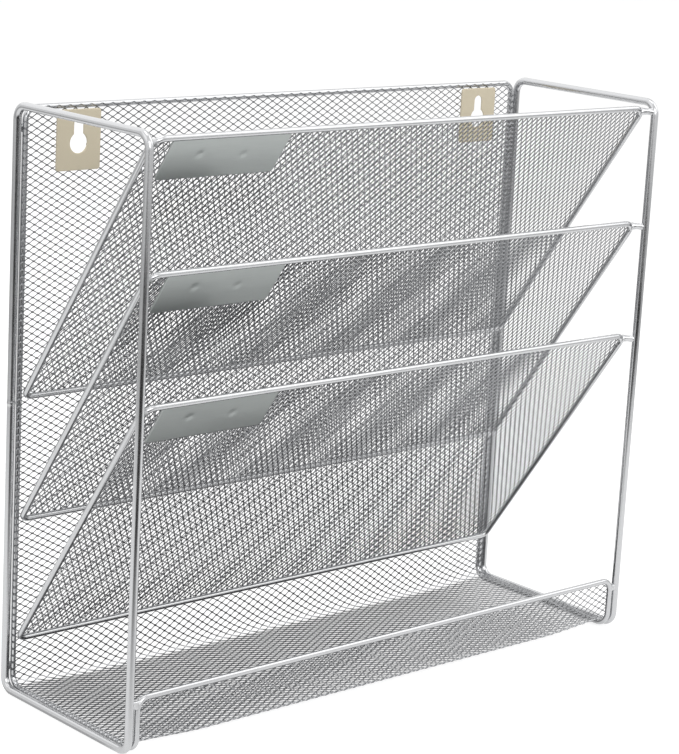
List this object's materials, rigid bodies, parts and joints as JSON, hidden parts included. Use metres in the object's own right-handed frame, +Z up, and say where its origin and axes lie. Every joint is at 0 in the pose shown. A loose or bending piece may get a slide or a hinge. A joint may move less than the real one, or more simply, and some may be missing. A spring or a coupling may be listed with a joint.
{
  "type": "mesh file organizer",
  "caption": "Wire-framed mesh file organizer for a desk or wall, with sloping shelves that form file pockets over an open tray, and keyhole plates to hang it by.",
  "frame": {"origin": "middle of the footprint of the side frames, on the surface that the organizer stands on", "axes": "+X to the user's right along the shelves, +Y to the wall behind, +Z up"},
  "size_m": [0.3334, 0.1052, 0.2902],
  "materials": {
    "wire": "silver paint, glossy satin",
    "mesh": "silver paint, satin",
    "label_plate": "satin",
    "hanging_plate": "warm satin metal",
    "weld": "silver paint, glossy satin"
  },
  "bodies": {
    "root": {"left_side_frame": "wire", "right_side_frame": "wire", "basket_rim": "wire", "top_shelf_rim": "wire", "middle_shelf_rim": "wire", "bottom_shelf_rim": "wire", "lip_mesh": "mesh", "front_bend_mesh": "mesh", "tray_mesh": "mesh", "rear_bend_mesh": "mesh", "back_mesh": "mesh", "top_shelf_mesh": "mesh", "middle_shelf_mesh": "mesh", "bottom_shelf_mesh": "mesh", "top_label_plate": "label_plate", "middle_label_plate": "label_plate", "bottom_label_plate": "label_plate", "left_hanging_plate": "hanging_plate", "right_hanging_plate": "hanging_plate", "top_shelf_weld_left": "weld", "top_shelf_weld_right": "weld", "middle_shelf_weld_left": "weld", "middle_shelf_weld_right": "weld", "bottom_shelf_weld_left": "weld", "bottom_shelf_weld_right": "weld", "lip_weld_left": "weld", "lip_weld_right": "weld", "back_top_weld_left": "weld", "back_top_weld_right": "weld", "back_bottom_weld_left": "weld", "back_bottom_weld_right": "weld"}
  },
  "joints": []
}
